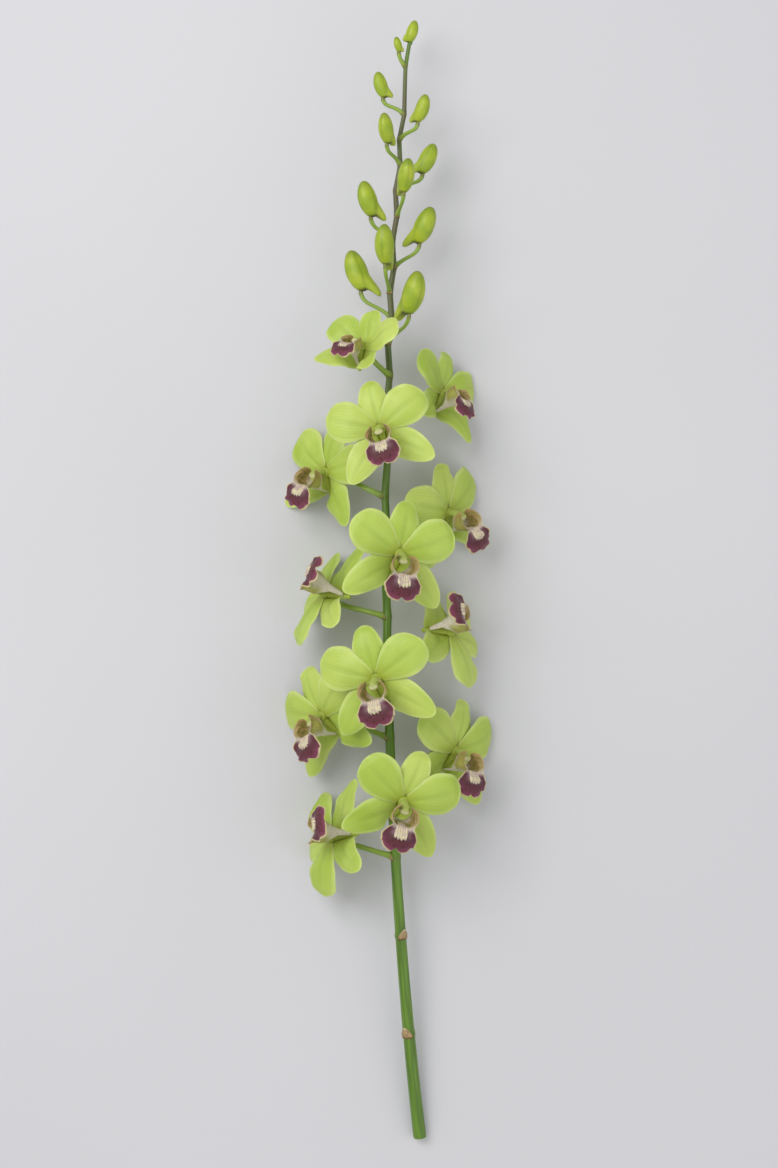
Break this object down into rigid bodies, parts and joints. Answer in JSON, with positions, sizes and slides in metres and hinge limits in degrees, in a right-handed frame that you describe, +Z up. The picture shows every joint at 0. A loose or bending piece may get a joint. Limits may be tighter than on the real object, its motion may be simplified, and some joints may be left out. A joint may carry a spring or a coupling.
{
  "type": "dendrobium orchid stem",
  "caption": "Cut orchid flower stem lying flat: an arching bare-based stem with lime green blooms on curved stalks, each with a maroon lip, and a tapering tail of closed buds at the tip.",
  "frame": {"origin": "on the surface the stem lies on, under the middle of its bounding box", "axes": "+Y along the stem from the cut end to the tip, +Z up from the surface it lies on, +X to the right seen from above"},
  "size_m": [0.1154, 0.6014, 0.082],
  "materials": {
    "stem": "satin",
    "tepal": "satin",
    "lip": "matte",
    "bud": "satin"
  },
  "bodies": {
    "root": {"stem": "stem", "bloom_01": "tepal", "bloom_02": "tepal", "bloom_03": "tepal", "bloom_04": "tepal", "bloom_05": "tepal", "bloom_06": "tepal", "bloom_07": "tepal", "bloom_08": "tepal", "bloom_09": "tepal", "bloom_10": "tepal", "bloom_11": "tepal", "bloom_12": "tepal", "bloom_13": "tepal", "lip_01": "lip", "lip_02": "lip", "lip_03": "lip", "lip_04": "lip", "lip_05": "lip", "lip_06": "lip", "lip_07": "lip", "lip_08": "lip", "lip_09": "lip", "lip_10": "lip", "lip_11": "lip", "lip_12": "lip", "lip_13": "lip", "bud_01": "bud", "bud_02": "bud", "bud_03": "bud", "bud_04": "bud", "bud_05": "bud", "bud_06": "bud", "bud_07": "bud", "bud_08": "bud", "bud_09": "bud", "bud_10": "bud", "bud_11": "bud", "bud_12": "bud"}
  },
  "joints": []
}
